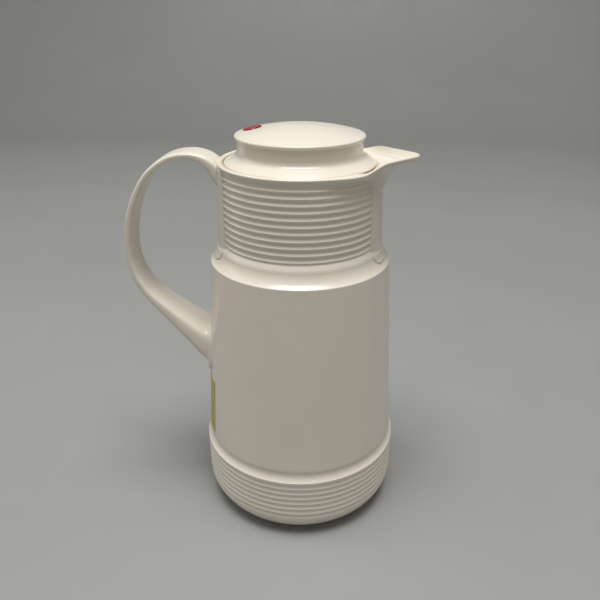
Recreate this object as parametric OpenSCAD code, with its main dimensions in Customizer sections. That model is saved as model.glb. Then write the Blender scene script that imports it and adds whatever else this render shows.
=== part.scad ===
// Vacuum jug with a glass liner, a screw stopper, a pouring spout, a loop handle
// and a screw-on base cup. +Z is up, the spout points along +X and the handle
// along -X. The origin is the centre of the resting face, on the jug's axis.

/* [Overall] */
// Radius of the crisp edge where the body meets the shoulder
shoulder_r = 66; // [56:1:80]
// Height of the casing from its foot edge up to the shoulder edge
body_h = 152.4; // [122:0.1:190]
// Height of the base cup up to the parting line
cup_h = 52.4; // [46:0.1:62]
// Radius of the casing's foot edge
foot_r = 77; // [72:0.1:93]

/* [Casing] */
// Wall of the casing
casing_wall = 2.6; // [2:0.1:3.2]
// How far the casing's foot flares out from the body wall
foot_flare_w = 2.8; // [2:0.1:4]
// Height of the foot flare
foot_flare_h = 8.5; // [6:0.1:10]
// Radius of curvature of the foot flare
foot_flare_curve = 8; // [7:0.5:16]
// Depth of the shoulder cove
cove_depth = 1.6; // [1:0.1:2]
// Height of the shoulder cove
cove_h = 10.4; // [8:0.1:13]
// Radius at the top of the shoulder cove
cove_top_r = 59; // [57.5:0.1:60]
// Play at the parting line over the base cup
seam_gap = 0.5; // [0.3:0.1:0.8]

/* [Neck] */
// Radius of the neck over its ribs
neck_r = 57; // [56:0.1:58]
// Number of hollows round the neck
flute_count = 11; // [8:1:11]
// Height of one hollow
flute_pitch = 4.74; // [4:0.02:4.8]
// Depth of one hollow
flute_depth = 0.95; // [0.5:0.05:1.2]
// Height of the neck from the shoulder edge up to the rim
neck_h = 67.9; // [64:0.1:74]
// Radius of the upright panels over their toes
panel_r = 60; // [59:0.1:60.5]
// Radius of the upright panels under the rim
panel_top_r = 58.1; // [57.6:0.1:59]
// Half of the angle that a panel covers
panel_half_angle = 28; // [18:1:30]

/* [Pouring rim] */
// Outer radius of the rim
rim_r = 57.8; // [57.6:0.1:59]
// Radius that the spout's sides run out from
spout_root_r = 61; // [60:0.1:62]
// Inner radius of the rim
rim_bore_r = 53.6; // [53.4:0.1:53.8]
// Height of the rim
rim_h = 2.4; // [2:0.1:3.4]
// Radius of the rim's rounded edge
rim_edge = 0.9; // [0.7:0.1:1]
// How far the spout's tip reaches from the axis
spout_reach = 82.3; // [78:0.1:85]
// How far the spout's lip rises over the rim
spout_rise = 4.8; // [3:0.1:6]
// How far the spout's underside runs down the neck
spout_drop = 23; // [16:0.5:28]

/* [Handle] */
// Width of the strap
strap_w = 24; // [20:0.5:28]
// Thickness of the strap
strap_t = 4.4; // [3.6:0.1:5.5]
// How far the strap's centre line stands out from its roots
handle_reach = 62; // [48:0.5:72]
// How far the strap rises over the rim
handle_rise = 3.6; // [0:0.1:6]
// Depth of the lower root below the shoulder edge
handle_drop = 72; // [58:0.5:86]

/* [Stopper] */
// Radius of the knob's rounded lip
knob_r = 45.2; // [42:0.1:47]
// Height of the knob over the rim
knob_h = 23.9; // [20:0.1:28]
// Height of the dome over the knob's lip
dome_h = 6; // [3:0.1:8]
// Radius of the wide flange that covers the mouth
flange_r = 53; // [51.8:0.1:53.1]
// Radius of the threaded plug
plug_r = 48.4; // [46:0.1:48.8]
// Rise of the stopper in one turn
stopper_lead = 12; // [10:0.5:14]
// Radius of the round position mark on the knob
dot_r = 6.6; // [4:0.1:9]

/* [Liner] */
// Radius of the outer glass bottle
glass_r = 60.5; // [52:0.1:60.6]
// Thickness of the glass
glass_t = 1.5; // [1.2:0.1:1.8]
// Width of the evacuated gap
vacuum_gap = 3; // [2:0.1:5]
// Inner radius of the glass mouth
mouth_r = 36.5; // [32:0.1:37]
// Height of the glass bottle's lowest point
glass_z = 20; // [18:0.5:24]
// Rise of the base cup in one turn
cup_lead = 18; // [15:0.5:21]

/* [Label] */
// Height of the blank label
label_h = 46; // [30:1:60]
// Half of the angle that the label covers
label_half_angle = 28; // [12:1:32]

/* [Hidden] */

$fn = 96;

ivory = [0.91, 0.88, 0.80];
ivory_dark = [0.85, 0.81, 0.72];
rubber = [0.72, 0.66, 0.55];
silvered = [0.78, 0.80, 0.82];

// Heights on the casing, from the resting face up
foot_z = cup_h + seam_gap;
body_foot_r = foot_r - foot_flare_w;
shoulder_z = foot_z + body_h;
cove_top_z = shoulder_z + cove_h;
neck_top_z = shoulder_z + neck_h;
rim_z = neck_top_z + rim_h;
knob_z = rim_z + knob_h;

// Neck: the bore that takes the threaded insert
neck_wall = 2.25;
neck_bore_r = neck_r - flute_depth - neck_wall;

// Threads: ridge height, half width at the root and at the crest
ridge_bite = 0.7;
ridge_play = 0.5;
ridge_root_half = 1.25;
ridge_crest_half = 0.7;
ridge_sink = 0.8;
ridge_step = 5;

// Stopper and neck insert
insert_bore_r = plug_r + 2 * ridge_play + ridge_bite;
insert_h = 47;
insert_shelf_h = 3;
stopper_ridge_starts = 2;
stopper_ridge_angle = 150;
stopper_ridge_z = neck_top_z - 23;
plug_wall = 2;
plug_h = 34;
cap_h = 3;
seat_gap = 0.1;

// Glass mouth
neck_gap = 1.5;
outer_mouth_r = mouth_r + 2 * glass_t + neck_gap;
mouth_z = neck_top_z - 40;
lip_h = 2.5;
glass_neck_h = 21;
glass_shoulder_h = 24;
glass_bottom_h = 30;
tip_h = 8;

// Base cup and its thread
cup_r = foot_r - 0.2;
cup_wall = 2.5;
cup_corner = 26;
cup_corner_z = 23.7;
cup_bore_wall = 5.8;
casing_bore_r = foot_r - cup_bore_wall;
spigot_r = casing_bore_r - 2 * ridge_play - ridge_bite - 0.2;
spigot_wall = 2.4;
spigot_h = 15.6;
cup_ridge_starts = 3;
cup_ridge_angle = 80;
cup_ridge_z = foot_z + 4.5;
cup_flute_count = 7;
cup_flute_pitch = 4.75;
cup_flute_depth = 0.7;
cup_edge_z = 0.8;
cup_floor_t = 2.4;
foot_ring_r = 56;
foot_ring_w = 6;
foot_ring_h = 2;

// Supports under the glass
cushion_r = 34;
cushion_bore_r = 22;
cushion_h = 6;
support_r = 38;
support_bore_r = 12;

arc_steps = 8;

// ---- outline helpers -------------------------------------------------------

// Points on an arc about c, from angle a0 to a1
function arc(c, r, a0, a1, n = arc_steps) =
    [for (i = [0:n]) c + r * [cos(a0 + (a1 - a0) * i / n), sin(a0 + (a1 - a0) * i / n)]];

// Points from p to q on an arc of radius r whose centre is on the right of p-q
function arc_between(p, q, r, n = arc_steps) =
    let (m = (p + q) / 2, d = q - p, len = norm(d))
    let (side = [d[1], -d[0]] / len)
    let (c = m + side * sqrt(r * r - len * len / 4))
    let (a0 = atan2(p[1] - c[1], p[0] - c[0]), a1 = atan2(q[1] - c[1], q[0] - c[0]))
    let (sweep = a1 - a0 > 180 ? a1 - a0 - 360 : a1 - a0 < -180 ? a1 - a0 + 360 : a1 - a0)
    arc(c, r, a0, a0 + sweep, n);

// A hollow of the given depth between two edges
function hollow(p, q, depth, n = 6) =
    arc_between(p, q, norm(q - p) * norm(q - p) / (8 * depth) + depth / 2, n);

function reversed(v) = [for (i = [len(v) - 1:-1:0]) v[i]];
function smooth(t) = let (k = min(max(t, 0), 1)) k * k * (3 - 2 * k);
function mix(a, b, t) = a + (b - a) * t;

// ---- casing ----------------------------------------------------------------

// Radius of the plain body wall at height z
function body_r(z) =
    mix(body_foot_r, shoulder_r, (z - foot_z - foot_flare_h) / (body_h - foot_flare_h));

// Heights of the rib crests on the neck, from the lowest up
function crest(k) = [k == 0 ? cove_top_r : neck_r, cove_top_z + k * flute_pitch];

function casing_outside() = concat(
    arc_between([foot_r, foot_z], [body_foot_r, foot_z + foot_flare_h], foot_flare_curve),
    hollow([shoulder_r, shoulder_z], crest(0), cove_depth, arc_steps),
    [for (k = [0:flute_count - 1], p = hollow(crest(k), crest(k + 1), flute_depth)) p],
    [[neck_r, neck_top_z]]
);

function casing_inside() = [
    [neck_bore_r, neck_top_z],
    [neck_bore_r, cove_top_z - 2],
    [shoulder_r - casing_wall, shoulder_z - 1.5 * casing_wall],
    [body_r(foot_z + 25) - casing_wall, foot_z + 25],
    [casing_bore_r, foot_z + 20],
    [casing_bore_r, foot_z]
];

// A helical ridge on a wall: root_r is inside the wall, crest_r is its free edge
module ridge(root_r, crest_r, z, lead, angle) {
    steps = ceil(angle / ridge_step);
    rings = [
        for (i = [0:steps])
            let (a = angle * i / steps, h = z + lead * a / 360)
            let (fade = min(1, i / 3, (steps - i) / 3))
            let (r = mix(root_r, crest_r, 0.35 + 0.65 * fade))
            [
                [root_r * cos(a), root_r * sin(a), h - ridge_root_half],
                [r * cos(a), r * sin(a), h - ridge_crest_half],
                [r * cos(a), r * sin(a), h + ridge_crest_half],
                [root_r * cos(a), root_r * sin(a), h + ridge_root_half]
            ]
    ];
    loft(rings, crest_r < root_r);
}

// Skins a list of equal rings into one solid, closed by caps or into a loop
module loft(rings, outward = true, loop = false) {
    n = len(rings[0]);
    count = len(rings);
    points = [for (ring = rings, p = ring) p];
    sides = [
        for (i = [0:count - (loop ? 1 : 2)], j = [0:n - 1])
            let (k = (j + 1) % n, next = (i + 1) % count)
            each [
                [i * n + j, i * n + k, next * n + k],
                [i * n + j, next * n + k, next * n + j]
            ]
    ];
    caps = loop ? [] : [
        [for (j = [n - 1:-1:0]) j],
        [for (j = [0:n - 1]) (count - 1) * n + j]
    ];
    faces = concat(sides, caps);
    polyhedron(points, outward ? [for (f = faces) reversed(f)] : faces);
}

// An upright panel that runs down the neck and ends in a rounded toe
module neck_panel() {
    toe_r = panel_r * sin(panel_half_angle);
    toe_z = shoulder_z + 3.5;
    intersection() {
        rotate_extrude()
            polygon([
                [neck_bore_r + 1, toe_z],
                [panel_r + 3.4, toe_z],
                [panel_r + 0.4, toe_z + 6],
                [panel_r, toe_z + 12],
                [panel_top_r, toe_z + 52],
                [panel_top_r, neck_top_z],
                [neck_bore_r + 1, neck_top_z]
            ]);
        union() {
            translate([0, -toe_r, toe_z + 8])
                cube([2 * panel_r, 2 * toe_r, neck_h]);
            for (side = [-1, 1])
                translate([0, side * (toe_r - 8), toe_z + 8])
                    rotate([0, 90, 0])
                        cylinder(r = 8, h = 2 * panel_r);
            translate([0, 8 - toe_r, toe_z])
                cube([2 * panel_r, 2 * toe_r - 16, 8.1]);
        }
    }
}

module outer_casing() {
    color(ivory) {
        rotate_extrude() polygon(concat(casing_outside(), casing_inside()));
        neck_panel();
        rotate([0, 0, 180]) neck_panel();
        for (i = [0:cup_ridge_starts - 1])
            rotate([0, 0, i * 360 / cup_ridge_starts])
                ridge(casing_bore_r + ridge_sink, casing_bore_r - ridge_play - ridge_bite,
                      cup_ridge_z, cup_lead, cup_ridge_angle);
    }
}

// ---- pouring rim and spout -------------------------------------------------

spout_half_angle = 45;
spout_tip_r = (spout_root_r * sqrt(2) - spout_reach) / (sqrt(2) - 1);
spout_tip_x = spout_reach - spout_tip_r;

// Half of the spout's plan outline, from the rim round to the tip
spout_outline = concat(
    [for (i = [0:9]) mix(spout_root_r * [1, 1] / sqrt(2),
                         [spout_tip_x, 0] + spout_tip_r * [1, 1] / sqrt(2), i / 10)],
    arc([spout_tip_x, 0], spout_tip_r, 45, 0, 5)
);
rim_step = 6;
rim_sink = 0.3;
sleeve_r = neck_bore_r + 0.4;
rim_plan = concat(
    [for (p = spout_outline) [p[0], -p[1]]],
    [for (i = [len(spout_outline) - 2:-1:0]) spout_outline[i]],
    [for (a = [spout_half_angle + rim_step:rim_step:359 - spout_half_angle])
        let (t = (spout_half_angle + 30 - min(a, 360 - a)) / 30)
        mix(rim_r, spout_root_r, smooth(t)) * [cos(a), sin(a)]]
);

// The rim's cross-section at a point of its plan outline, as [radius, height].
// Away from the spout it is the plain rounded rim.
function rim_section(reach, angle) =
    let (off = abs(angle))
    let (wall = mix(neck_r, panel_top_r, smooth((32 - off) / 12)))
    let (low = neck_top_z - rim_sink - spout_drop * smooth((spout_half_angle - off) / 34))
    let (lip = rim_z + spout_rise * smooth((spout_half_angle - off) / 22))
    let (floor_z = rim_z - mix(0.25, 2.2, smooth((spout_half_angle - off) / 16)))
    let (end = reach - rim_edge, under = lip - 2 * rim_edge)
    let (start = [wall, low], centre = [end, lip - rim_edge])
    concat(
        [[sleeve_r, neck_top_z + seat_gap / 4], [sleeve_r, low]],
        [for (i = [0:9]) start + [(end - wall) * (1 - cos(10 * i)), (under - low) * sin(10 * i)]],
        arc(centre, rim_edge, -80, 90, 6),
        [for (i = [5:-1:1]) [mix(rim_bore_r, end, i / 6), mix(floor_z, lip, pow(i / 6, 1.5))]],
        [[rim_bore_r, floor_z], [rim_bore_r, neck_top_z + seat_gap / 4]]
    );

module pour_collar() {
    color(ivory)
        loft([
            for (p = rim_plan)
                let (a = atan2(p[1], p[0]))
                [for (s = rim_section(norm(p), a)) [s[0] * cos(a), s[0] * sin(a), s[1]]]
        ], false, true);
}

// ---- handle ----------------------------------------------------------------

// Stations down the strap's centre line: how far out, as a share of the reach;
// how high, as a share of the way from the lower root to the top; and how much
// thicker and wider than the plain strap it is there.
handle_route = [
    [-0.12, 0.85, 2.6, 1.06],
    [-0.04, 0.895, 2.3, 1.04],
    [0.045, 0.947, 2.1, 1.02],
    [0.16, 0.983, 1.6, 1],
    [0.33, 1.0, 1.02, 1],
    [0.55, 0.98, 1.04, 1.01],
    [0.77, 0.912, 1.12, 1.03],
    [0.912, 0.815, 1.25, 1.05],
    [1.0, 0.7, 1.3, 1.06],
    [1.024, 0.6, 1.3, 1.06],
    [1.014, 0.51, 1.3, 1.06],
    [0.967, 0.425, 1.35, 1.07],
    [0.887, 0.35, 1.45, 1.09],
    [0.745, 0.268, 1.75, 1.13],
    [0.452, 0.157, 2.6, 1.28],
    [0.164, 0.053, 4.0, 1.5],
    [0.015, 0.005, 5.4, 1.62],
    [-0.14, -0.035, 6.4, 1.7]
];
handle_low_z = shoulder_z - handle_drop;
handle_top_z = rim_z + handle_rise;

function station(i) =
    let (s = handle_route[min(max(i, 0), len(handle_route) - 1)])
    let (root = mix(body_r(handle_low_z), panel_top_r, smooth(s[1])))
    [-(root + handle_reach * s[0]), mix(handle_low_z, handle_top_z, s[1]),
     strap_t * s[2], strap_w * s[3]];

// Smooth curve through the stations
function along(t) =
    let (i = min(floor(t), len(handle_route) - 2), f = t - i)
    let (p0 = station(i - 1), p1 = station(i), p2 = station(i + 1), p3 = station(i + 2))
    0.5 * (2 * p1 + (p2 - p0) * f + (2 * p0 - 5 * p1 + 4 * p2 - p3) * f * f
           + (3 * p1 - p0 - 3 * p2 + p3) * f * f * f);

// One ring round the strap: flat faces with well rounded edges
strap_sides = 20;
function strap_ring(t) =
    let (s = along(t), d = along(t + 0.02) - along(t - 0.02))
    let (len = norm([d[0], d[1]]), out = [d[1], -d[0]] / len)
    [
        for (k = [0:strap_sides - 1])
            let (a = 360 * k / strap_sides)
            let (w = sign(cos(a)) * pow(abs(cos(a)), 0.45) * s[3] / 2)
            let (h = sign(sin(a)) * pow(abs(sin(a)), 0.55) * s[2] / 2)
            [s[0] + out[0] * h, w, s[1] + out[1] * h]
    ];

// The hollow inside the casing, which the handle's roots stop short of
root_bite = 0.8;
module casing_core() {
    low = foot_z + 25;
    rotate_extrude()
        polygon([
            [0, low],
            [body_r(low) - casing_wall + root_bite, low],
            [shoulder_r - casing_wall + root_bite, shoulder_z - 1.5 * casing_wall],
            [neck_bore_r + root_bite, cove_top_z - 2],
            [neck_bore_r + root_bite, knob_z],
            [0, knob_z]
        ]);
}

module handle() {
    rings_per_station = 4;
    last = (len(handle_route) - 1) * rings_per_station;
    color(ivory)
        difference() {
            loft([for (i = [0:last]) strap_ring(i / rings_per_station)], false);
            casing_core();
        }
}

// ---- neck insert and its gasket ---------------------------------------------

module neck_insert() {
    bottom = neck_top_z - insert_h;
    color(ivory_dark) {
        rotate_extrude()
            polygon([
                [neck_bore_r, bottom],
                [neck_bore_r, neck_top_z],
                [insert_bore_r + 1, neck_top_z],
                [insert_bore_r, neck_top_z - 1],
                [insert_bore_r, bottom + insert_shelf_h],
                [outer_mouth_r + 3, bottom + insert_shelf_h],
                [outer_mouth_r + 3, bottom]
            ]);
        for (i = [0:stopper_ridge_starts - 1])
            rotate([0, 0, i * 360 / stopper_ridge_starts])
                ridge(insert_bore_r + ridge_sink, insert_bore_r - ridge_play - ridge_bite,
                      stopper_ridge_z, stopper_lead, stopper_ridge_angle);
    }
}

module neck_gasket() {
    color(rubber)
        rotate_extrude()
            translate([outer_mouth_r, neck_top_z - insert_h])
                square([3, 5.5]);
}

// ---- glass liner -------------------------------------------------------------

// Half outline of a bottle: domed bottom, straight body, soft shoulder and neck
function bottle(r, neck, bottom, body_top, top, bottom_h) = concat(
    [for (i = [0:10]) [r * sin(9 * i), bottom + bottom_h * (1 - cos(9 * i))]],
    [for (i = [0:10]) let (t = i / 10)
        [mix(neck, r, (1 + cos(180 * t)) / 2), body_top + glass_shoulder_h * t]],
    [[neck, top]]
);

glass_body_top = mouth_z - glass_neck_h - glass_shoulder_h;
inner_r = glass_r - glass_t - vacuum_gap;
inner_neck_r = mouth_r + glass_t;

module liner_inner_bottle() {
    low = glass_z + glass_t + vacuum_gap;
    outside = bottle(inner_r, inner_neck_r, low, glass_body_top, mouth_z - lip_h, glass_bottom_h);
    inside = bottle(inner_r - glass_t, mouth_r, low + glass_t, glass_body_top, mouth_z,
                    glass_bottom_h - glass_t);
    lip = [
        [outer_mouth_r - 0.6, mouth_z - lip_h],
        [outer_mouth_r, mouth_z - lip_h + 0.6],
        [outer_mouth_r, mouth_z - 0.6],
        [outer_mouth_r - 0.6, mouth_z]
    ];
    color(silvered)
        rotate_extrude() polygon(concat(outside, lip, reversed(inside)));
}

module liner_outer_bottle() {
    outside = bottle(glass_r, outer_mouth_r, glass_z, glass_body_top, mouth_z - lip_h,
                     glass_bottom_h);
    inside = bottle(glass_r - glass_t, outer_mouth_r - glass_t, glass_z + glass_t,
                    glass_body_top, mouth_z - lip_h, glass_bottom_h - glass_t);
    tip = [[0, glass_z - tip_h], [1.6, glass_z - tip_h + 1], [2.6, glass_z - 2]];
    first = [for (p = outside) if (p[0] > 5) p];
    color(silvered)
        rotate_extrude() polygon(concat(tip, first, reversed(inside)));
}

module liner_spacers() {
    pad_h = 12;
    pad_angle = 14;
    pad_play = 0.03;
    pad_z = glass_z + glass_bottom_h + 12;
    color([0.55, 0.52, 0.46])
        for (i = [0:2])
            rotate([0, 0, 120 * i])
                rotate_extrude(angle = pad_angle)
                    translate([inner_r + pad_play, pad_z])
                        square([vacuum_gap - 2 * pad_play, pad_h]);
}

module centring_ring() {
    color(rubber)
        rotate_extrude()
            translate([outer_mouth_r, mouth_z - 18])
                square([neck_bore_r - outer_mouth_r, 4]);
}

// ---- base cup and the supports in it ----------------------------------------

function bottle_floor(r) =
    glass_z + glass_bottom_h * (1 - sqrt(1 - pow(r / glass_r, 2)));

module liner_cushion() {
    play = 0.3;
    low = glass_z - cushion_h;
    color(rubber)
        rotate_extrude()
            polygon([
                [cushion_bore_r, low],
                [cushion_r, low],
                [cushion_r, bottle_floor(cushion_r) - play],
                [(cushion_r + cushion_bore_r) / 2,
                 bottle_floor((cushion_r + cushion_bore_r) / 2) - play],
                [cushion_bore_r, bottle_floor(cushion_bore_r) - play]
            ]);
}

module liner_support() {
    top = glass_z - cushion_h;
    low = cup_edge_z + foot_ring_h + cup_floor_t;
    color(ivory_dark) {
        rotate_extrude()
            polygon([
                [support_bore_r, top - 2.4],
                [support_r - 2, top - 2.4],
                [support_r - 2, low],
                [support_r, low],
                [support_r, top + 4],
                [cushion_r + 0.2, top + 4],
                [cushion_r + 0.2, top],
                [support_bore_r, top]
            ]);
        for (i = [0:5])
            rotate([0, 0, 60 * i])
                translate([support_bore_r + 1, -0.9, low])
                    cube([support_r - support_bore_r - 2, 1.8, top - low - 1.2]);
    }
}

cup_centre = [cup_r - cup_corner, cup_corner_z];
// Radius of the cup's plain outside at height z
function cup_outside_r(z) = z > cup_corner_z ? cup_r
    : cup_centre[0] + sqrt(cup_corner * cup_corner - pow(cup_corner_z - z, 2));
function cup_crest(k) =
    let (z = cup_h - 0.6 - (cup_flute_count - k) * cup_flute_pitch) [cup_outside_r(z), z];

function cup_outside() =
    let (edge_angle = -asin((cup_corner_z - cup_edge_z) / cup_corner))
    let (crest_angle = -asin((cup_corner_z - cup_crest(0)[1]) / cup_corner))
    concat(
        arc(cup_centre, cup_corner, edge_angle, crest_angle, 12),
        [for (k = [0:cup_flute_count - 1], p = hollow(cup_crest(k), cup_crest(k + 1), cup_flute_depth)) p],
        [[cup_r, cup_h]]
    );

function cup_inside() =
    let (corner = cup_corner - cup_wall, floor_z = cup_edge_z + foot_ring_h + cup_floor_t)
    concat(
        [
            [spigot_r, cup_h],
            [spigot_r, cup_h + spigot_h],
            [spigot_r - spigot_wall, cup_h + spigot_h],
            [spigot_r - spigot_wall, cup_h - 3],
            [cup_r - cup_wall, cup_h - 9]
        ],
        arc(cup_centre, corner, 0, -asin((cup_corner_z - floor_z) / corner), 10),
        [[0, floor_z]]
    );

module base_cup() {
    under = cup_edge_z + foot_ring_h;
    ring_out = foot_ring_r + foot_ring_w / 2 + 0.3;
    color(ivory) {
        rotate_extrude()
            polygon(concat(
                [[0, under], [ring_out, under], [ring_out, cup_edge_z]],
                cup_outside(),
                cup_inside()
            ));
        for (i = [0:cup_ridge_starts - 1])
            rotate([0, 0, i * 360 / cup_ridge_starts])
                ridge(spigot_r - ridge_sink, spigot_r + ridge_play + ridge_bite,
                      cup_ridge_z + cup_lead / cup_ridge_starts / 2, cup_lead, cup_ridge_angle);
    }
}

module foot_ring() {
    low = cup_edge_z + foot_ring_h;
    color(rubber)
        rotate_extrude()
            translate([foot_ring_r, 0])
                polygon([
                    [-foot_ring_w / 2, low],
                    [-foot_ring_w / 2, 0.5],
                    [0.5 - foot_ring_w / 2, 0],
                    [foot_ring_w / 2 - 0.5, 0],
                    [foot_ring_w / 2, 0.5],
                    [foot_ring_w / 2, low]
                ]);
}

// A blank label wrapped on the body under the handle
module body_label() {
    thick = 0.25;
    lift = 0.03;
    low = foot_z + foot_flare_h + 3;
    high = low + label_h;
    color([0.72, 0.62, 0.22])
        rotate_extrude(angle = 2 * label_half_angle, start = 180 - label_half_angle)
            polygon([
                [body_r(low) + lift, low],
                [body_r(low) + thick, low],
                [body_r(high) + thick, high],
                [body_r(high) + lift, high]
            ]);
}

// ---- stopper ------------------------------------------------------------------

knob_lip_r = 1.3;
knob_lip_z = knob_z - dome_h - knob_lip_r;
knob_wall_r = knob_r - 1.2;
flange_z = rim_z - 0.2;
flange_under = neck_top_z + 0.5;
dome_curve = (pow(knob_r - knob_lip_r, 2) + dome_h * dome_h) / (2 * dome_h);

// Height of the dome's surface at radius r
function dome_z(r) = knob_z - dome_curve + sqrt(dome_curve * dome_curve - r * r);

module stopper_knob() {
    skin = 2.2;
    cove = 4.5;
    cove_c = [knob_wall_r - 0.4 + cove, flange_z + 3.5 + cove];
    outside = concat(
        [[flange_r - 0.6, flange_under]],
        [[flange_r, flange_under + 0.6], [flange_r, flange_z - 0.6], [flange_r - 0.6, flange_z]],
        arc(cove_c, cove, 248, 180, 8),
        [[knob_wall_r, knob_lip_z - 2.2]],
        arc([knob_r - knob_lip_r, knob_lip_z], knob_lip_r, -80, 75, 8),
        [for (i = [8:-1:0]) let (r = (knob_r - knob_lip_r) * i / 9) [r, dome_z(r)]]
    );
    inside = [
        [0, knob_z - skin - 0.6],
        [knob_wall_r - skin - 6, knob_z - dome_h - skin],
        [knob_wall_r - skin - 1, knob_lip_z - 4],
        [knob_wall_r - skin - 1, flange_under]
    ];
    color(ivory)
        difference() {
            rotate_extrude() polygon(concat(outside, inside));
            dot_place() cylinder(r = dot_r + 0.05, h = 4);
        }
}

dot_at = 33;
dot_turn = 176;
module dot_place() {
    rotate([0, 0, dot_turn])
        translate([dot_at, 0, dome_z(dot_at) - 1])
            rotate([0, asin(dot_at / dome_curve), 0])
                children();
}

module stopper_dot() {
    color([0.62, 0.03, 0.06])
        dot_place()
            rotate_extrude()
                polygon([
                    [0, 0.02],
                    [dot_r, 0.02],
                    [dot_r, 1.4],
                    [dot_r - 0.5, 1.8],
                    [0, 2.1]
                ]);
}

module stopper_plug() {
    low = flange_under - plug_h;
    color(ivory_dark) {
        rotate_extrude()
            polygon([
                [plug_r - plug_wall, low],
                [plug_r, low],
                [plug_r, flange_under],
                [0, flange_under],
                [0, flange_under - plug_wall],
                [plug_r - plug_wall, flange_under - plug_wall]
            ]);
        for (i = [0:stopper_ridge_starts - 1])
            rotate([0, 0, i * 360 / stopper_ridge_starts])
                ridge(plug_r - ridge_sink, plug_r + ridge_play + ridge_bite,
                      stopper_ridge_z + stopper_lead / stopper_ridge_starts / 2,
                      stopper_lead, stopper_ridge_angle);
    }
}

module stopper_insulation() {
    color([0.93, 0.92, 0.88])
        translate([0, 0, flange_under - plug_h])
            cylinder(r = plug_r - plug_wall, h = plug_h - plug_wall);
}

module stopper_base_cap() {
    low = flange_under - plug_h - cap_h;
    color(ivory_dark)
        rotate_extrude()
            polygon([
                [0, low - 4],
                [mouth_r - 5, low - 4],
                [mouth_r - 4, low - 6],
                [mouth_r - 2.6, low - 6],
                [mouth_r - 1.8, low],
                [plug_r - 0.2, low],
                [plug_r - 0.2, low + cap_h],
                [0, low + cap_h]
            ]);
}

module stopper_seal() {
    top = flange_under - plug_h - cap_h;
    low = mouth_z + seat_gap;
    color([0.80, 0.42, 0.16])
        rotate_extrude()
            polygon([
                [mouth_r - 1.3, low],
                [outer_mouth_r + 0.4, low],
                [outer_mouth_r + 0.4, top - 0.05],
                [mouth_r - 1.3, top - 0.05]
            ]);
}

outer_casing();
pour_collar();
handle();
neck_insert();
neck_gasket();
liner_inner_bottle();
liner_outer_bottle();
liner_spacers();
centring_ring();
liner_cushion();
liner_support();
base_cup();
foot_ring();
body_label();
stopper_knob();
stopper_plug();
stopper_insulation();
stopper_base_cap();
stopper_seal();
stopper_dot();
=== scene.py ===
"""Looks for the vacuum jug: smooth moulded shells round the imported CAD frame."""
import math

import bmesh
import bpy
import numpy as np
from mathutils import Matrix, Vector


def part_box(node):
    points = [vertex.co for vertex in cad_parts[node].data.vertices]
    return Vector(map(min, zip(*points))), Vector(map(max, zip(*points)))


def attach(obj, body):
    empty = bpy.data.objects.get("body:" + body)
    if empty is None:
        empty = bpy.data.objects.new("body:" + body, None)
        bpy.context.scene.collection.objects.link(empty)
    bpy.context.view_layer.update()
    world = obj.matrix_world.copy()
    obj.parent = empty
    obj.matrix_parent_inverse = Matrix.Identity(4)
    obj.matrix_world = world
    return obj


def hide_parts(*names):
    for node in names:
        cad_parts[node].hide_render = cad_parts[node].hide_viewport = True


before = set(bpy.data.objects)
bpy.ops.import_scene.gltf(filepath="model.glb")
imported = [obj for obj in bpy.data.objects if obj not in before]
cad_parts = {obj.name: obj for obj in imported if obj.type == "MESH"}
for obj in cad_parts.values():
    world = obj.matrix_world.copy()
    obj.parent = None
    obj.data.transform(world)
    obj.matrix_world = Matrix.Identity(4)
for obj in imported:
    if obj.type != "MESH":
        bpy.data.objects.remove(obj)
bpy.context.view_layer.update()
scene = bpy.context.scene
MM = 0.001

# ---- sizes, in millimetres -----------------------------------------------------------


def box_mm(node):
    """Lowest and highest corner of a CAD node, in millimetres."""
    lo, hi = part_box(node)
    return np.array(lo) / MM, np.array(hi) / MM


casing_lo, casing_hi = box_mm("outer_casing")
collar_hi = box_mm("pour_collar")[1]
knob_lo, knob_hi = box_mm("stopper_knob")
cup_lo, cup_hi = box_mm("base_cup")
dot_lo, dot_hi = box_mm("stopper_dot")

# Casing, from its foot up to the top of the neck
FOOT_Z = casing_lo[2]
FOOT_R = casing_hi[1]
NECK_TOP_Z = casing_hi[2]
SHOULDER_Z = NECK_TOP_Z - 67.9
SHOULDER_R = 66.0
BODY_FOOT_R = FOOT_R - 2.8
FLARE_H = 8.5
FLARE_CURVE = 8.0
COVE_DEPTH = 1.6
COVE_TOP_Z = SHOULDER_Z + 10.4
COVE_TOP_R = 59.0
NECK_R = 57.0
NECK_BORE_R = 53.8
# Ribs round the neck: how many, how far apart, how deep, and how low the deepest place is
FLUTES = 11
FLUTE_PITCH = 4.74
FLUTE_DEPTH = 1.1
FLUTE_LOW = 0.68
# Upright panels under the spout and behind the handle
PANEL_R = 60.0
PANEL_TOP_R = 58.1
PANEL_HALF = 28.0
PANEL_EDGE = 0.9
PANEL_CORNER = 8.0
PANEL_TOE_Z = SHOULDER_Z + 3.5
# Plain band over the ribs, and the wall
BAND_DEPTH = 0.9
WALL = 2.6
CASING_BORE_R = FOOT_R - 5.8
# Screw thread between the casing and the base cup
THREAD_Z = FOOT_Z + 4.5
THREAD_LEAD = 18
THREAD_TURN = 80
THREAD_STARTS = 3
THREAD_ROOT = 0.8
THREAD_CREST = 1.2

# Pouring rim and spout
RIM_R = collar_hi[1]
RIM_BORE_R = 53.6
RIM_EDGE = 0.9
SPOUT_REACH = collar_hi[0]
SPOUT_ROOT_R = 61.0
SPOUT_RISE = 4.8
RIM_Z = collar_hi[2] - SPOUT_RISE
SPOUT_DROP = 23.0
SPOUT_HALF = 45

# Strap handle, with its lower root and its top
STRAP_W = 24.0
STRAP_T = 4.4
HANDLE_REACH = 62.0
HANDLE_LOW_Z = SHOULDER_Z - 72.0
HANDLE_TOP_Z = RIM_Z + 3.6

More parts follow.
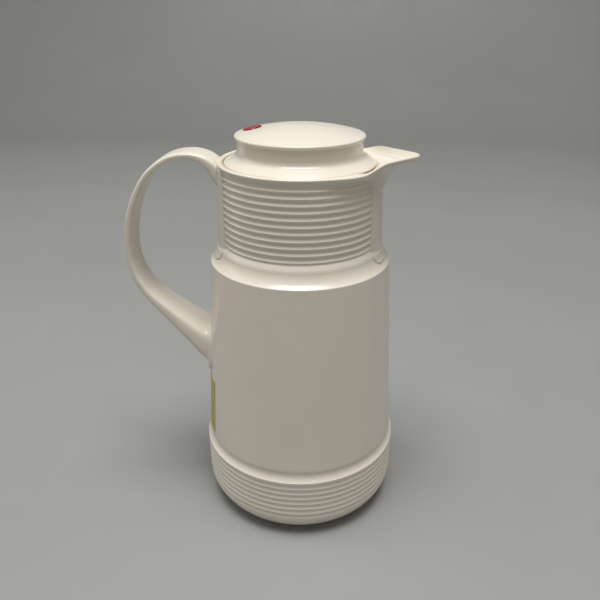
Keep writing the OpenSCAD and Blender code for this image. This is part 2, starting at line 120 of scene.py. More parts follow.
# Stopper knob
KNOB_R = 45.2
KNOB_Z = knob_hi[2]
KNOB_UNDER = knob_lo[2]
FLANGE_R = knob_hi[0]
DOME_H = 6.0
LIP_R = 1.3

# Base cup
CUP_TOP_Z = cup_hi[2] - 15.6
CUP_R = cup_hi[0]
CUP_EDGE_Z = cup_lo[2]

# ---- outline helpers -----------------------------------------------------------------


def smooth(t):
    t = np.clip(t, 0, 1)
    return t * t * (3 - 2 * t)


def mix(a, b, t):
    return a + (b - a) * t


def arc(c, r, a0, a1, n):
    t = np.radians(np.linspace(a0, a1, n + 1))
    return np.c_[c[0] + r * np.cos(t), c[1] + r * np.sin(t)]


def arc_between(p, q, r, n):
    """Points from p to q on an arc of radius r whose centre is right of p-q."""
    p, q = np.array(p, float), np.array(q, float)
    d = q - p
    length = np.hypot(*d)
    c = (p + q) / 2 + np.array([d[1], -d[0]]) / length * math.sqrt(r * r - length**2 / 4)
    a0 = math.degrees(math.atan2(*(p - c)[::-1]))
    a1 = math.degrees(math.atan2(*(q - c)[::-1]))
    sweep = (a1 - a0 + 180) % 360 - 180
    return arc(c, r, a0, a0 + sweep, n)


def hollow(p, q, depth, n=14):
    span = np.hypot(*(np.array(q) - np.array(p)))
    return arc_between(p, q, span**2 / (8 * depth) + depth / 2, n)


def soften(points, step, sigma):
    """The same line at an even step, with its corners rounded a little."""
    points = np.array(points, float)
    length = np.r_[0, np.cumsum(np.hypot(*np.diff(points, axis=0).T))]
    keep = np.r_[True, np.diff(length) > 1e-9]
    points, length = points[keep], length[keep]
    count = max(2, int(round(length[-1] / step)))
    at = np.linspace(0, length[-1], count + 1)
    line = np.c_[np.interp(at, length, points[:, 0]), np.interp(at, length, points[:, 1])]
    reach = int(math.ceil(3 * sigma / step))
    weights = np.exp(-0.5 * (np.arange(-reach, reach + 1) * step / sigma) ** 2)
    weights /= weights.sum()
    first, last = 2 * line[0] - line[reach:0:-1], 2 * line[-1] - line[-2:-reach - 2:-1]
    wide = np.vstack([first, line, last])
    return np.c_[
        np.convolve(wide[:, 0], weights, "valid"), np.convolve(wide[:, 1], weights, "valid")
    ]


# ---- mesh helpers --------------------------------------------------------------------


class Shell:
    """Gathers closed surfaces, in millimetres, and makes one object of them."""

    def __init__(self):
        self.verts, self.faces = [], []

    def grid(self, rows, closed_along=True, closed_round=True):
        """rows[i][j] is a point; i runs round and j runs along the outline."""
        rows = np.asarray(rows, float)
        n, m = rows.shape[:2]
        base = len(self.verts)
        self.verts.extend(map(tuple, rows.reshape(-1, 3)))
        for i in range(n if closed_round else n - 1):
            k = (i + 1) % n
            for j in range(m if closed_along else m - 1):
                e = (j + 1) % m
                self.faces.append(
                    (base + i * m + j, base + k * m + j, base + k * m + e, base + i * m + e)
                )
        return base, n, m

    def tube(self, rings):
        """A solid skinned over a list of equal rings, with its ends closed."""
        base, n, m = self.grid(rings, closed_along=True, closed_round=False)
        self.faces.append(tuple(base + j for j in range(m)))
        self.faces.append(tuple(base + (n - 1) * m + j for j in reversed(range(m))))

    def revolve(self, outline, closed=True, count=288):
        outline = np.asarray(outline, float)
        t = np.radians(np.arange(count) * 360 / count)
        rows = np.stack(
            [
                outline[None, :, 0] * np.cos(t)[:, None],
                outline[None, :, 0] * np.sin(t)[:, None],
                np.broadcast_to(outline[None, :, 1], (count, len(outline))),
            ],
            axis=-1,
        )
        self.grid(rows, closed_along=closed)

    def ridges(self, root_r, crest_r, z):
        """Helical ridges of a screw thread on a round wall."""
        steps = 40
        for s in range(THREAD_STARTS):
            rings = []
            for i in range(steps + 1):
                a = math.radians(THREAD_TURN * i / steps + 360 * s / THREAD_STARTS)
                h = z + THREAD_LEAD * THREAD_TURN * i / steps / 360
                fade = min(1, i / 8, (steps - i) / 8)
                r = mix(root_r, crest_r, 0.35 + 0.65 * math.sin(fade * math.pi / 2))
                c, q = math.cos(a), math.sin(a)
                rings.append(
                    [
                        (root_r * c, root_r * q, h - 1.25),
                        (r * c, r * q, h - 0.7),
                        (r * c, r * q, h + 0.7),
                        (root_r * c, root_r * q, h + 1.25),
                    ]
                )
            self.tube(rings)

    def build(self, name, body, material, replaces=(), sharp=38):
        mesh = bpy.data.meshes.new(name)
        mesh.from_pydata([tuple(c * MM for c in v) for v in self.verts], [], self.faces)
        made = bmesh.new()
        made.from_mesh(mesh)
        bmesh.ops.remove_doubles(made, verts=made.verts, dist=2e-7)
        bmesh.ops.dissolve_degenerate(made, edges=made.edges, dist=1e-7)
        bmesh.ops.recalc_face_normals(made, faces=made.faces)
        made.to_mesh(mesh)
        made.free()
        mesh.shade_smooth()
        mesh.set_sharp_from_angle(angle=math.radians(sharp))
        mesh.materials.append(material)
        piece = bpy.data.objects.new(name, mesh)
        scene.collection.objects.link(piece)
        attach(piece, body)
        if replaces:
            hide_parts(*replaces)
        return piece


# ---- materials -----------------------------------------------------------------------


class Nodes:
    """A short way to wire up one material's nodes."""

    def __init__(self, name):
        self.material = bpy.data.materials.new(name)
        self.material.use_nodes = True
        self.tree = self.material.node_tree
        self.shader = self.tree.nodes["Principled BSDF"]
        self.place = self.add("ShaderNodeTexCoord").outputs["Object"]

    def add(self, kind):
        return self.tree.nodes.new(kind)

    def link(self, a, b):
        self.tree.links.new(a, b)

    def noise(self, scale, detail=3.0, rough=0.55, stretch=None):
        place = self.place
        if stretch:
            scaled = self.add("ShaderNodeMapping")
            scaled.inputs["Scale"].default_value = stretch
            self.link(place, scaled.inputs["Vector"])
            place = scaled.outputs["Vector"]
        node = self.add("ShaderNodeTexNoise")
        node.inputs["Scale"].default_value = scale
        node.inputs["Detail"].default_value = detail
        node.inputs["Roughness"].default_value = rough
        self.link(place, node.inputs["Vector"])
        return node.outputs["Fac"]

    def ramp(self, factor, stops):
        node = self.add("ShaderNodeValToRGB")
        ramp = node.color_ramp
        while len(ramp.elements) < len(stops):
            ramp.elements.new(0.5)
        for element, (at, colour) in zip(ramp.elements, stops):
            element.position = at
            element.color = (*colour, 1)
        self.link(factor, node.inputs["Fac"])
        return node.outputs["Color"]

    def span(self, value, low, high, to_low=0.0, to_high=1.0):
        node = self.add("ShaderNodeMapRange")
        limits = {"From Min": low, "From Max": high, "To Min": to_low, "To Max": to_high}
        for key, limit in limits.items():
            node.inputs[key].default_value = limit
        self.link(value, node.inputs["Value"])
        return node.outputs["Result"]

    def blend(self, factor, a, b):
        node = self.add("ShaderNodeMix")
        node.data_type = "RGBA"
        for socket, value in ((node.inputs[0], factor), (node.inputs[6], a), (node.inputs[7], b)):
            if isinstance(value, bpy.types.NodeSocket):
                self.link(value, socket)
            elif isinstance(value, tuple):
                socket.default_value = (*value, 1)
            else:
                socket.default_value = value
        return node.outputs[2]

    def maths(self, what, a, b=None):
        node = self.add("ShaderNodeMath")
        node.operation = what
        for socket, value in zip(node.inputs, (a, b)):
            if isinstance(value, bpy.types.NodeSocket):
                self.link(value, socket)
            elif value is not None:
                socket.default_value = value
        return node.outputs[0]

    def bump(self, layers):
        """layers is a list of (height, strength, distance in metres)."""
        normal = None
        for height, strength, distance in layers:
            node = self.add("ShaderNodeBump")
            node.inputs["Strength"].default_value = strength
            node.inputs["Distance"].default_value = distance
            self.link(height, node.inputs["Height"])
            if normal:
                self.link(normal, node.inputs["Normal"])
            normal = node.outputs["Normal"]
        self.link(normal, self.shader.inputs["Normal"])

    def finish(self, colour, roughness, **constants):
        self.link(colour, self.shader.inputs["Base Color"])
        self.link(roughness, self.shader.inputs["Roughness"])
        for key, value in constants.items():
            self.shader.inputs[key.replace("_", " ")].default_value = value
        return self.material


def moulded(name, light, dark, rough=(0.2, 0.27), gap=None):
    """Glossy moulded plastic: faint clouding, fine scuffs and moulding ripple; with gap, painted
    amber shade in a ring next to the bore.
    """
    n = Nodes(name)
    cloud = n.noise(26, 4.0)
    fleck = n.noise(900, 2.0)
    colour = n.ramp(cloud, [(0.3, dark), (0.7, light)])
    colour = n.blend(n.span(fleck, 0.35, 0.8, 0.0, 0.1), colour, tuple(c * 0.86 for c in dark))
    if gap:
        # Painted shade: a warm amber tint in the narrow gap between the flange and the rim,
        # standing in for light shadowed and bounced in the crevice
        low_r, high_r, gap_shade_colour = gap
        split = n.add("ShaderNodeSeparateXYZ")
        n.link(n.place, split.inputs[0])
        reach = n.maths(
            "SQRT",
            n.maths(
                "ADD",
                n.maths("POWER", split.outputs[0], 2.0),
                n.maths("POWER", split.outputs[1], 2.0),
            ),
        )
        inside = n.span(reach, low_r, high_r)
        colour = n.blend(n.maths("MULTIPLY", inside, 0.85), colour, gap_shade_colour)
    scuff = n.noise(48, 6.0, 0.65)
    scratch = n.noise(130, 2.0, 0.6, stretch=(7, 7, 0.6))
    hair = n.span(scratch, 0.72, 0.8, 0.0, 0.05)
    rough_at = n.maths("ADD", n.span(scuff, 0.3, 0.75, *rough), hair)
    n.bump([(n.noise(70, 1.0), 0.03, 0.0002), (n.noise(1600, 2.0), 0.03, 0.00003)])
    return n.finish(colour, rough_at, IOR=1.5)


IVORY = (0.765, 0.712, 0.618)
IVORY_SHADE = (0.745, 0.69, 0.592)
# Painted warm shade for the crevice between the flange and the rim
GAP_SHADE_AMBER = (0.55, 0.36, 0.16)


def rubber(name, light, dark, rough=0.62):
    n = Nodes(name)
    colour = n.ramp(n.noise(140, 4.0), [(0.3, dark), (0.75, light)])
    rough_at = n.span(n.noise(420, 3.0), 0.3, 0.7, rough - 0.08, rough + 0.12)
    n.bump([(n.noise(800, 3.0), 0.22, 0.00012), (n.noise(2600, 2.0), 0.25, 0.00004)])
    return n.finish(colour, rough_at, IOR=1.45)


def silvered():
    n = Nodes("silvered_glass")
    colour = n.ramp(n.noise(38, 5.0, 0.65), [(0.25, (0.72, 0.73, 0.74)), (0.7, (0.86, 0.87, 0.88))])
    rough_at = n.span(n.noise(90, 5.0), 0.3, 0.8, 0.05, 0.16)
    n.bump([(n.noise(34, 2.0), 0.10, 0.0006), (n.noise(210, 2.0), 0.05, 0.0001)])
    return n.finish(colour, rough_at, Metallic=0.95, IOR=1.52, Coat_Weight=0.6, Coat_Roughness=0.04)


def felt():
    n = Nodes("spacer_felt")
    colour = n.ramp(
        n.noise(1300, 6.0, 0.7), [(0.3, (0.16, 0.14, 0.11)), (0.7, (0.36, 0.33, 0.28))]
    )
    rough_at = n.span(n.noise(700, 3.0), 0.3, 0.7, 0.85, 0.98)
    n.bump([(n.noise(1700, 5.0, 0.7, stretch=(1, 1, 3)), 0.7, 0.0003)])
    return n.finish(colour, rough_at, Sheen_Weight=0.3)


def foam():
    n = Nodes("insulation_foam")
    cells = n.add("ShaderNodeTexVoronoi")
    cells.inputs["Scale"].default_value = 420
    n.link(n.place, cells.inputs["Vector"])
    colour = n.ramp(
        cells.outputs["Distance"], [(0.1, (0.84, 0.82, 0.77)), (0.9, (0.70, 0.67, 0.60))]
    )
    rough_at = n.span(n.noise(300, 3.0), 0.3, 0.7, 0.8, 0.95)
    n.bump([(cells.outputs["Distance"], 0.5, 0.0004)])
    return n.finish(colour, rough_at, Subsurface_Weight=0.05)


def label_paper():
    """Blank printed paper: a plain coloured field with fibres, no lettering."""
    n = Nodes("label_paper")
    fibre = n.noise(900, 6.0, 0.75, stretch=(1, 1, 0.25))
    colour = n.ramp(fibre, [(0.25, (0.38, 0.31, 0.06)), (0.75, (0.50, 0.42, 0.10))])
    fade = n.noise(45, 3.0)
    colour = n.blend(n.span(fade, 0.35, 0.75, 0.0, 0.25), colour, (0.60, 0.54, 0.26))
    rough_at = n.span(n.noise(320, 4.0), 0.3, 0.7, 0.38, 0.55)
    n.bump([(fibre, 0.18, 0.00008)])
    return n.finish(colour, rough_at)


ivory = moulded("ivory_plastic", IVORY, IVORY_SHADE)
# The rim's ivory, with painted amber shade in the gap under the flange's edge
ivory_rim_gap_shaded = moulded(
    "ivory_plastic_rim_gap_shade",
    IVORY,
    IVORY_SHADE,
    gap=((RIM_BORE_R + 1.9) * MM, (RIM_BORE_R - 0.5) * MM, GAP_SHADE_AMBER),
)
ivory_knob = moulded("ivory_plastic_knob", IVORY, IVORY_SHADE, rough=(0.18, 0.25))
inner = moulded("inner_plastic", (0.66, 0.56, 0.40), (0.58, 0.48, 0.33), rough=(0.3, 0.45))
pale_rubber = rubber("pale_rubber", (0.52, 0.46, 0.36), (0.42, 0.37, 0.28))
amber_rubber = rubber("amber_rubber", (0.60, 0.27, 0.07), (0.48, 0.20, 0.05), 0.42)
red = moulded("red_plastic", (0.30, 0.002, 0.008), (0.25, 0.0015, 0.006), rough=(0.1, 0.18))
MATERIALS = {
    "neck_insert": inner,
    "neck_gasket": pale_rubber,
    "liner_inner_bottle": silvered(),
    "liner_spacers": felt(),
    "centring_ring": pale_rubber,
    "liner_cushion": pale_rubber,
    "liner_support": inner,
    "foot_ring": pale_rubber,
    "body_label": label_paper(),
    "stopper_plug": inner,
    "stopper_insulation": foam(),
    "stopper_base_cap": inner,
    "stopper_seal": amber_rubber,
}
MATERIALS["liner_outer_bottle"] = MATERIALS["liner_inner_bottle"]

for node, material in MATERIALS.items():
    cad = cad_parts[node]
    if not cad.material_slots:
        cad.data.materials.append(material)
    for place in cad.material_slots:
        place.material = material

# ---- casing --------------------------------------------------------------------------


def body_r(z):
    return mix(
        BODY_FOOT_R, SHOULDER_R, (z - FOOT_Z - FLARE_H) / (SHOULDER_Z - FOOT_Z - FLARE_H)
    )


def crest(k):
    return (COVE_TOP_R if k == 0 else NECK_R, COVE_TOP_Z + k * FLUTE_PITCH)


def flute(p, q, depth, low, n=7):
    """A hollow from p up to q, deepest at a share low of the way, steep under q."""
    up = np.linspace(0, 1, n)
    share = np.r_[low * up[:-1], low + (1 - low) * up]
    sunk = np.r_[1 - (1 - up[:-1]) ** 2, 1 - up**2]
    return np.c_[mix(p[0], q[0], share) - depth * sunk, mix(p[1], q[1], share)]


def ease(line, z, reach, sigma):
    """The same line with its corner near height z rounded well over."""
    steps = np.arange(-3 * sigma, 3 * sigma + 1)
    weights = np.exp(-0.5 * (steps / sigma) ** 2)
    weights /= weights.sum()
    pad = 3 * sigma
    wide = np.vstack([np.repeat(line[:1], pad, 0), line, np.repeat(line[-1:], pad, 0)])
    eased = np.c_[
        np.convolve(wide[:, 0], weights, "valid"), np.convolve(wide[:, 1], weights, "valid")
    ]
    near = smooth(1.6 * (1 - np.abs(line[:, 1] - z) / reach))
    return mix(line, eased, near[:, None])


def casing_outside():
    foot = arc_between((FOOT_R, FOOT_Z), (BODY_FOOT_R, FOOT_Z + FLARE_H), FLARE_CURVE, 20)
    lip = soften(np.vstack([[[FOOT_R - 1.6, FOOT_Z]], foot]), 0.35, 0.28)
    wall_z = np.linspace(FOOT_Z + FLARE_H + 2, SHOULDER_Z - 3, 26)
    wall = np.c_[body_r(wall_z), wall_z]
    cove = hollow((SHOULDER_R, SHOULDER_Z), crest(0), COVE_DEPTH, 30)
    flutes = [flute(crest(k), crest(k + 1), FLUTE_DEPTH, FLUTE_LOW) for k in range(FLUTES)]
    arris = [[body_r(SHOULDER_Z - 2.4), SHOULDER_Z - 2.4]]
    band_r, band_z = NECK_R - BAND_DEPTH, crest(FLUTES)[1] + 1.2
    band = [[band_r, band_z], [band_r, NECK_TOP_Z]]
    neck = soften(np.vstack([arris, cove, *flutes, band]), 0.25, 0.2)
    neck = ease(neck, COVE_TOP_Z, 3.0, 5)
    return np.vstack([lip, wall, neck])


def panel_mask(side_deg, z):
    """1 on the upright panels and 0 off them, with a narrow rounded edge."""
    half = PANEL_R * math.radians(PANEL_HALF)
    edge_w = 1.1
    across = np.radians(np.abs(side_deg)) * PANEL_R - (half - PANEL_CORNER)
    down = (PANEL_TOE_Z + PANEL_CORNER) - z
    outside = np.hypot(np.maximum(across, 0), np.maximum(down, 0)) - PANEL_CORNER
    return smooth((edge_w / 2 - outside) / edge_w)


def panel_radius(z):
    """Radius of a panel's middle line: its toe swells out over the shoulder."""
    over_toe = [-3, 0, 3, 6, 12, 52]
    swell = [5.4, 3.4, 1.6, 0.5, 0, PANEL_TOP_R - PANEL_R]
    return np.interp(z - PANEL_TOE_Z, over_toe, PANEL_R + np.array(swell))


def casing():
    outside = casing_outside()
    socket_z = FOOT_Z + 20
    inside = np.array(
        [
            [NECK_BORE_R, NECK_TOP_Z],
            [NECK_BORE_R, COVE_TOP_Z - 2],
            [SHOULDER_R - WALL, SHOULDER_Z - 1.5 * WALL],
            [body_r(socket_z + 5) - WALL, socket_z + 5],
            [CASING_BORE_R, socket_z],
            [CASING_BORE_R, FOOT_Z],
        ]
    )
    # Angles from the middle of a panel to the front, closest at the panel's edge
    quarter = np.unique(
        np.r_[
            np.arange(0, 12, 2.0),
            np.arange(12, 26.5, 0.6),
            np.arange(26.6, 29.6, 0.2),
            np.arange(30, 90.1, 1.3),
            90.0,
        ].round(3)
    )
    half = np.r_[quarter, 180 - quarter[-2::-1]]
    angles = np.r_[half, -half[-2:0:-1]]
    off = np.minimum(np.abs(angles), 180 - np.abs(angles))
    radius, z = outside[:, 0], outside[:, 1]
    mask = panel_mask(off[:, None], z[None, :])
    # The panels rise from just over the ribs at their edges to full height midway
    edge = np.where(z > COVE_TOP_Z, NECK_R, radius)[None, :] + PANEL_EDGE
    crown = 1 - np.clip(off[:, None] / PANEL_HALF, 0, 1) ** 2
    proud = edge + np.maximum(panel_radius(z)[None, :] - edge, 0) * crown
    proud = np.maximum(proud, radius[None, :] + PANEL_EDGE)
    upper = (z > SHOULDER_Z + 0.4)[None, :]
    shaped = np.where(upper, mix(radius[None, :], proud, mask), radius[None, :])
    all_r = np.hstack([shaped, np.broadcast_to(inside[None, :, 0], (len(angles), len(inside)))])
    all_z = np.broadcast_to(np.r_[z, inside[:, 1]], all_r.shape)
    t = np.radians(angles)[:, None]
    shell = Shell()
    shell.grid(np.stack([all_r * np.cos(t), all_r * np.sin(t), all_z], axis=-1))
    shell.ridges(CASING_BORE_R + THREAD_ROOT, CASING_BORE_R - THREAD_CREST, THREAD_Z)
    return shell.build("casing_shell", "jug", ivory, ["outer_casing"])


# ---- pouring rim and spout -----------------------------------------------------------


def collar():
    root2 = math.sqrt(2)
    tip_r = (SPOUT_ROOT_R * root2 - SPOUT_REACH) / (root2 - 1)
    tip_x = SPOUT_REACH - tip_r
    root = np.array([1, 1]) * SPOUT_ROOT_R / root2
    tip = np.array([tip_x, 0]) + tip_r * np.array([1, 1]) / root2
    edge = [mix(root, tip, t) for t in np.linspace(0, 1, 27)[:-1]]
    side = np.vstack([edge, arc((tip_x, 0), tip_r, 45, 0, 14)])
    around = np.arange(47, 180.1, 1.9)
    swell = smooth((SPOUT_HALF + 30 - around) / 30)
    ring_r = mix(RIM_R, SPOUT_ROOT_R, swell)
    ring = np.c_[ring_r * np.cos(np.radians(around)), ring_r * np.sin(np.radians(around))]
    half = np.vstack([side[::-1], ring])
    plan = np.vstack([half, (half * [1, -1])[-1:0:-1]])
    rows = []
    sleeve, bite = NECK_BORE_R + 0.4, 0.3
    for x, y in plan:
        a = math.atan2(y, x)
        off, reach = abs(math.degrees(a)), math.hypot(x, y)
        crown = 1 - min(off / PANEL_HALF, 1) ** 2
        wall = mix(NECK_R + PANEL_EDGE, PANEL_TOP_R, crown) - bite
        wall -= (PANEL_EDGE + BAND_DEPTH) * smooth((off - PANEL_HALF + 1) / 2)
        # How far round into the spout this section is, in degrees
        into = SPOUT_HALF - off
        low = NECK_TOP_Z - 1.6 - SPOUT_DROP * smooth(into / 34)
        lip = RIM_Z + SPOUT_RISE * smooth(into / 22)
        floor_z = RIM_Z - mix(0.25, 2.2, smooth(into / 16))
        end, under = reach - RIM_EDGE, lip - 2 * RIM_EDGE - 1.5
        t = np.radians(np.linspace(0, 88, 18))
        rise = np.c_[
            wall + (end - wall) * (1 - np.cos(t)), low + (under - low) * np.sin(t)
        ]
        s = np.linspace(1, 0, 14)[1:]
        # The channel is scooped out most at its sides, less along its middle line
        hollowed = 1.5 + smooth((into - 5) / 18) * mix(3.0, 1.0, smooth((9 - off) / 9))
        floor = np.c_[mix(RIM_BORE_R + 0.5, end, s), mix(floor_z, lip, s**hollowed)]
        section = np.vstack(
            [
                [[sleeve, NECK_TOP_Z + 0.03], [sleeve, low]],
                rise,
                arc((end, lip - RIM_EDGE), RIM_EDGE, -80, 90, 10),
                floor,
                [[RIM_BORE_R + 0.12, floor_z - 0.15], [RIM_BORE_R, floor_z - 0.55]],
                [[RIM_BORE_R, NECK_TOP_Z + 0.03]],
            ]
        )
        rows.append(
            [(p[0] * math.cos(a), p[0] * math.sin(a), p[1]) for p in section]
        )
    shell = Shell()
    shell.grid(rows)
    return shell.build("pouring_collar", "jug", ivory_rim_gap_shaded, ["pour_collar"])


# ---- handle --------------------------------------------------------------------------

# Stations down the strap's centre line, as in the part: share of the reach, share of
# the height, and how much thicker and wider than the plain strap it is there
HANDLE_ROUTE = np.array(
    [
        [-0.12, 0.85, 2.6, 1.06],
        [-0.04, 0.895, 2.3, 1.04],
        [0.045, 0.947, 2.1, 1.02],
        [0.16, 0.983, 1.6, 1],
        [0.33, 1.0, 1.02, 1],
        [0.55, 0.98, 1.04, 1.01],
        [0.77, 0.912, 1.12, 1.03],
        [0.912, 0.815, 1.25, 1.05],
        [1.0, 0.7, 1.3, 1.06],
        [1.024, 0.6, 1.3, 1.06],
        [1.014, 0.51, 1.3, 1.06],
        [0.967, 0.425, 1.35, 1.07],
        [0.887, 0.35, 1.45, 1.09],
        [0.745, 0.268, 1.75, 1.13],
        [0.452, 0.157, 2.6, 1.28],
        [0.164, 0.053, 4.0, 1.5],
        [0.015, 0.005, 5.4, 1.62],
        [-0.14, -0.035, 6.4, 1.7],
    ]
)


def wall_at(z):
    """Radius of the casing's outside under the handle at height z."""
    return np.where(
        z > SHOULDER_Z + 12,
        panel_radius(z),
        np.where(z > SHOULDER_Z, SHOULDER_R, body_r(np.minimum(z, SHOULDER_Z))),
    )


def handle():
    share = HANDLE_ROUTE[:, 1]
    root = mix(body_r(HANDLE_LOW_Z), PANEL_TOP_R, smooth(share))
    stations = np.c_[
        -(root + HANDLE_REACH * HANDLE_ROUTE[:, 0]),
        mix(HANDLE_LOW_Z, HANDLE_TOP_Z, share),
        STRAP_T * HANDLE_ROUTE[:, 2],
        STRAP_W * HANDLE_ROUTE[:, 3],
    ]

    def along(t):
        i = int(min(max(math.floor(t), 0), len(stations) - 2))
        f = t - i
        p0, p1, p2, p3 = (
            stations[min(max(k, 0), len(stations) - 1)] for k in range(i - 1, i + 3)
        )
        return 0.5 * (
            2 * p1 + (p2 - p0) * f + (2 * p0 - 5 * p1 + 4 * p2 - p3) * f * f
            + (3 * p1 - p0 - 3 * p2 + p3) * f**3
        )

    sides, per_station = 64, 12
    fillet, bite = 5.0, 0.8
    a = np.radians(np.arange(sides) * 360 / sides)
    # A flat strap with rounded edges: the lower the powers, the squarer it is
    across = np.sign(np.cos(a)) * np.abs(np.cos(a)) ** 0.45
    through = np.sign(np.sin(a)) * np.abs(np.sin(a)) ** 0.55
    rings = []
    for t in np.linspace(0, len(stations) - 1, (len(stations) - 1) * per_station + 1):
        x, z, thick, width = along(t)
        d = (along(t + 0.02) - along(t - 0.02))[:2]
        out = np.array([d[1], -d[0]]) / np.hypot(*d)
        h = through * thick / 2
        ring = np.c_[x + out[0] * h, across * width / 2, z + out[1] * h]
        # The strap swells softly where it runs into the wall
        r = np.hypot(ring[:, 0], ring[:, 1])
        near = np.clip(1 - (r - wall_at(ring[:, 2])) / fillet, 0, 1)
        low = smooth((SHOULDER_Z - ring[:, 2]) / 12)
        swell = fillet * low * (1 - np.sqrt(1 - near**2))
        spread = np.c_[out[0] * np.sin(a), np.cos(a), out[1] * np.sin(a)]
        ring = ring + spread * swell[:, None]
        # No part of the root reaches right through the wall
        r = np.hypot(ring[:, 0], ring[:, 1])
        inner_r = np.where(ring[:, 2] > COVE_TOP_Z, NECK_BORE_R, wall_at(ring[:, 2]) - WALL)
        least = inner_r + bite
        grow = np.maximum(least / r, 1)
        ring[:, :2] *= grow[:, None]
        rings.append(ring)
    shell = Shell()
    shell.tube(rings)
    return shell.build("strap_handle", "jug", ivory, ["handle"], sharp=60)


# ---- stopper knob and its mark -------------------------------------------------------

WALL_R = KNOB_R - 1.2
FLANGE_Z = RIM_Z - 0.2
LIP_Z = KNOB_Z - DOME_H - LIP_R
DOME_CURVE = ((KNOB_R - LIP_R) ** 2 + DOME_H**2) / (2 * DOME_H)


def dome_z(r):
    return KNOB_Z - DOME_CURVE + np.sqrt(DOME_CURVE**2 - r**2)


def knob():
    cove, taper, skin = 4.5, 0.4, 2.2
    centre = (WALL_R - taper + cove, FLANGE_Z + 3.5 + cove)
    dome_at = np.linspace(KNOB_R - LIP_R, 0, 30)[1:]
    top = LIP_Z - 2.2
    wall_z = np.linspace(centre[1], top, 8)
    wall = np.c_[
        WALL_R - taper + taper * ((wall_z - centre[1]) / (top - centre[1])) ** 2, wall_z
    ]
    outside = np.vstack(
        [
            [[FLANGE_R - 2.5, KNOB_UNDER]],
            [[FLANGE_R - 0.4, KNOB_UNDER], [FLANGE_R, KNOB_UNDER + 0.5]],
            [[FLANGE_R, FLANGE_Z - 0.5], [FLANGE_R - 0.5, FLANGE_Z]],
            arc(centre, cove, 248, 180, 16),
            wall,
            arc((KNOB_R - LIP_R, LIP_Z), LIP_R, -88, 84, 16),
            np.c_[dome_at, dome_z(dome_at)],
        ]
    )
    outside = soften(outside, 0.3, 0.26)
    outside[-1, 0] = 0
    inside = [
        [0, KNOB_Z - skin - 0.6],
        [WALL_R - skin - 6, KNOB_Z - DOME_H - skin],
        [WALL_R - skin - 1, LIP_Z - 4],
        [WALL_R - skin - 1, KNOB_UNDER],
    ]
    shell = Shell()
    shell.revolve(np.vstack([outside, inside]), count=256)
    return shell.build("stopper_cap", "stopper", ivory_knob, ["stopper_knob"])


def dot():
    centre = (dot_lo + dot_hi) / 2
    reach = math.hypot(centre[0], centre[1])
    turn = math.atan2(centre[1], centre[0])
    tilt = math.asin(reach / DOME_CURVE)
    radius = (dot_hi[1] - dot_lo[1]) / 2
    edge = [[radius - 0.3, -0.6], [radius, -0.3], [radius, 0.35], [radius - 0.45, 0.75]]
    outline = soften([*edge, [0, 1.0]], 0.12, 0.12)
    outline[-1, 0] = 0
    outline = np.vstack([[[0, -0.6]], outline])
    shell = Shell()
    shell.revolve(outline, closed=False, count=96)
    points = np.array(shell.verts)
    x, y, z = points.T
    x, z = x * math.cos(tilt) + z * math.sin(tilt), -x * math.sin(tilt) + z * math.cos(tilt)
    x, z = x + reach, z + dome_z(reach)
    shell.verts = list(
        zip(x * math.cos(turn) - y * math.sin(turn), x * math.sin(turn) + y * math.cos(turn), z)
    )
    return shell.build("position_mark", "stopper", red, ["stopper_dot"])


# ---- base cup ------------------------------------------------------------------------

CUP_CORNER = 26.0
CUP_CORNER_Z = 23.7
CUP_FLUTES = 7
CUP_PITCH = 4.75
CUP_FLUTE_DEPTH = 0.7
CUP_SKIN = 2.5


def cup_outside_r(z):
    if z > CUP_CORNER_Z:
        return CUP_R
    return CUP_R - CUP_CORNER + math.sqrt(CUP_CORNER**2 - (CUP_CORNER_Z - z) ** 2)


def cup_crest(k):
    z = CUP_TOP_Z - 0.6 - (CUP_FLUTES - k) * CUP_PITCH
    return (cup_outside_r(z), z)


def base_cup():
    centre = (CUP_R - CUP_CORNER, CUP_CORNER_Z)
    spigot_r = CASING_BORE_R - 1.9
    spigot_in = spigot_r - 2.4
    ring_out, under, floor_z = 59.3, CUP_EDGE_Z + 2, CUP_EDGE_Z + 4.4

    def down(z):
        return -math.degrees(math.asin((CUP_CORNER_Z - z) / CUP_CORNER))

    flutes = [hollow(cup_crest(k), cup_crest(k + 1), CUP_FLUTE_DEPTH) for k in range(CUP_FLUTES)]
    outside = soften(
        np.vstack(
            [
                [[ring_out, CUP_EDGE_Z]],
                arc(centre, CUP_CORNER, down(CUP_EDGE_Z), down(cup_crest(0)[1]), 30),
                *flutes,
                [[CUP_R, CUP_TOP_Z], [CUP_R - 3, CUP_TOP_Z]],
            ]
        ),
        0.4,
        0.3,
    )
    inner_corner = CUP_CORNER - CUP_SKIN
    low = -math.degrees(math.asin((CUP_CORNER_Z - floor_z) / inner_corner))
    outline = np.vstack(
        [
            [[0, under], [ring_out, under]],
            outside,
            [
                [spigot_r, CUP_TOP_Z],
                [spigot_r, cup_hi[2] - 0.4],
                [spigot_r - 0.4, cup_hi[2]],
                [spigot_in, cup_hi[2]],
                [spigot_in, CUP_TOP_Z - 3],
                [CUP_R - CUP_SKIN, CUP_TOP_Z - 9],
            ],
            arc(centre, inner_corner, 0, low, 12),
            [[0, floor_z]],
        ]
    )
    shell = Shell()
    shell.revolve(outline, closed=False)
    shell.ridges(spigot_r - THREAD_ROOT, spigot_r + THREAD_CREST, THREAD_Z + 3)
    return shell.build("base_shell", "base", ivory, ["base_cup"])


casing()
collar()
handle()
knob()
dot()
base_cup()

# ---- floor, light and camera ---------------------------------------------------------


def stage_material(name, light, dark, rough):
    n = Nodes(name)
    colour = n.ramp(n.noise(3.0, 4.0), [(0.3, dark), (0.7, light)])
    rough_at = n.span(n.noise(12, 4.0), 0.3, 0.7, rough, rough + 0.1)
    n.bump([(n.noise(90, 3.0), 0.03, 0.0002)])
    return n.finish(colour, rough_at)


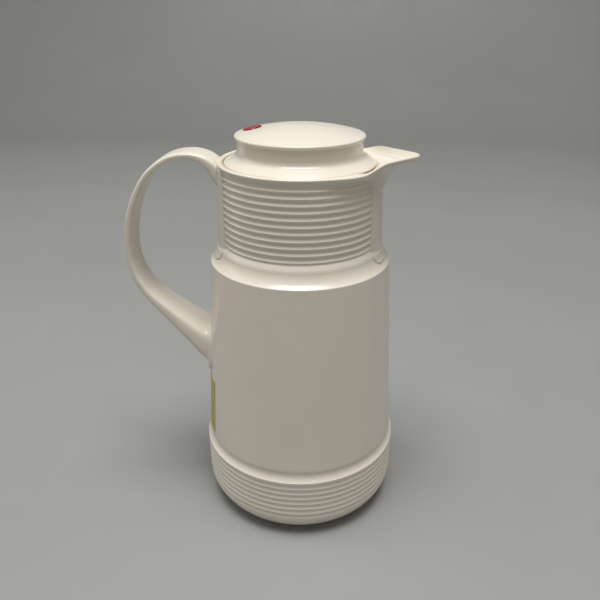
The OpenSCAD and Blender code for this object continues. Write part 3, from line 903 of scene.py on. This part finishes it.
def sweep():
    """A pale floor that runs up into a plain backdrop."""
    back, radius, height = 2.2, 0.7, 3.0
    outline = [(-3.0, 0.0)]
    outline += [
        (back - radius + radius * math.sin(t), radius - radius * math.cos(t))
        for t in np.linspace(0, math.pi / 2, 25)
    ]
    outline.append((back, height))
    verts, faces = [], []
    for y, z in outline:
        verts += [(-4, y, z), (4, y, z)]
    for i in range(len(outline) - 1):
        faces.append((2 * i, 2 * i + 1, 2 * i + 3, 2 * i + 2))
    mesh = bpy.data.meshes.new("floor")
    mesh.from_pydata(verts, [], faces)
    mesh.shade_smooth()
    mesh.materials.append(
        stage_material("floor_paint", (0.31, 0.31, 0.305), (0.295, 0.295, 0.29), 0.5)
    )
    floor = bpy.data.objects.new("floor", mesh)
    scene.collection.objects.link(floor)


def area_light(name, place, target, size, power):
    data = bpy.data.lights.new(name, "AREA")
    data.shape = "RECTANGLE"
    data.size, data.size_y = size
    data.energy = power
    lamp = bpy.data.objects.new(name, data)
    scene.collection.objects.link(lamp)
    lamp.location = place
    aim = np.array(target) - np.array(place)
    flat = math.hypot(aim[0], aim[1])
    lamp.rotation_euler = (math.atan2(flat, -aim[2]), 0, math.atan2(-aim[0], aim[1]))


sweep()
world = bpy.data.worlds.new("studio")
scene.world = world
world.use_nodes = True
sky = world.node_tree.nodes["Background"]
sky.inputs["Color"].default_value = (1, 0.98, 0.92, 1)
sky.inputs["Strength"].default_value = 0.27
area_light("overhead", (0.0, -0.3, 2.6), (0, 0, 0.15), (1.5, 1.1), 66)
area_light("left_wall", (-1.5, 0.3, 0.9), (0, 0, 0.2), (0.7, 1.0), 2.5)

camera_data = bpy.data.cameras.new("camera")
camera_data.sensor_width = 36
camera_data.lens = 36.77
camera = bpy.data.objects.new("camera", camera_data)
scene.collection.objects.link(camera)
# The camera stands off to the spout's side a little and looks down, in degrees
VIEW_TURN, VIEW_DROP = 4.0, 25.46
VIEW_DISTANCE, VIEW_HEIGHT = 0.4269, 0.3706
turn = math.radians(VIEW_TURN)
camera.location = (VIEW_DISTANCE * math.sin(turn), -VIEW_DISTANCE * math.cos(turn), VIEW_HEIGHT)
camera.rotation_euler = (math.radians(90 - VIEW_DROP), 0, turn)
scene.camera = camera
scene.view_settings.view_transform = "Standard"
